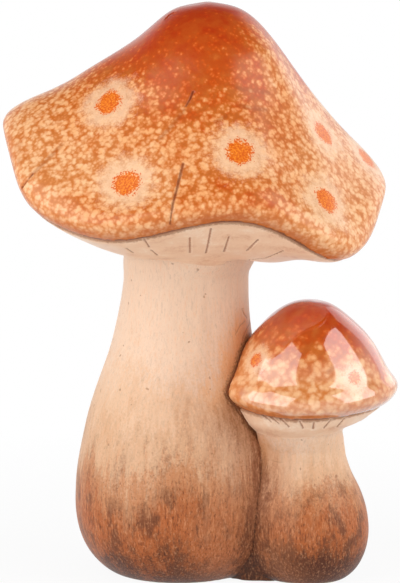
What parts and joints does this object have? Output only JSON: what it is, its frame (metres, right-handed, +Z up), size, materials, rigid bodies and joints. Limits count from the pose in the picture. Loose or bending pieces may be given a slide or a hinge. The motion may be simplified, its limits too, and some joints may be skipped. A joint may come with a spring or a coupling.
{
  "type": "ceramic mushroom ornament",
  "caption": "Free-standing glazed ceramic ornament: a tall mushroom with a waved cap and a small round-capped mushroom joined to its side.",
  "frame": {"origin": "on the resting plane, on the ground ring of the large foot, near the middle of the ornament's width", "axes": "+Z up, +X towards the small mushroom's side, -Y towards the viewer of the front"},
  "size_m": [0.1369, 0.1095, 0.2],
  "materials": {
    "cap_glaze": "glossy reactive glaze, burnt orange at the crown breaking into pale speckle towards the rim, with sponge-dabbed bright orange spots",
    "gill_glaze": "satin cream-beige glaze with hand-incised gill lines",
    "stem_glaze": "satin cream glaze, brushed down to warm brown at the foot",
    "rim_slip": "fired clay slip, dark with oxide, in a fine groove",
    "neck_slip": "wiped bead of fired slip under cream glaze",
    "side_slip": "fired clay slip, stained dark brown in the joint"
  },
  "bodies": {
    "root": {"large_stem": "stem_glaze", "small_stem": "stem_glaze", "large_cap_dome": "cap_glaze", "small_cap_dome": "cap_glaze", "large_cap_gill_plate": "gill_glaze", "small_cap_gill_plate": "gill_glaze", "large_cap_rim_slip": "rim_slip", "small_cap_rim_slip": "rim_slip", "large_neck_slip": "neck_slip", "small_neck_slip": "neck_slip", "cap_side_slip": "side_slip", "stem_side_slip": "side_slip"}
  },
  "joints": []
}
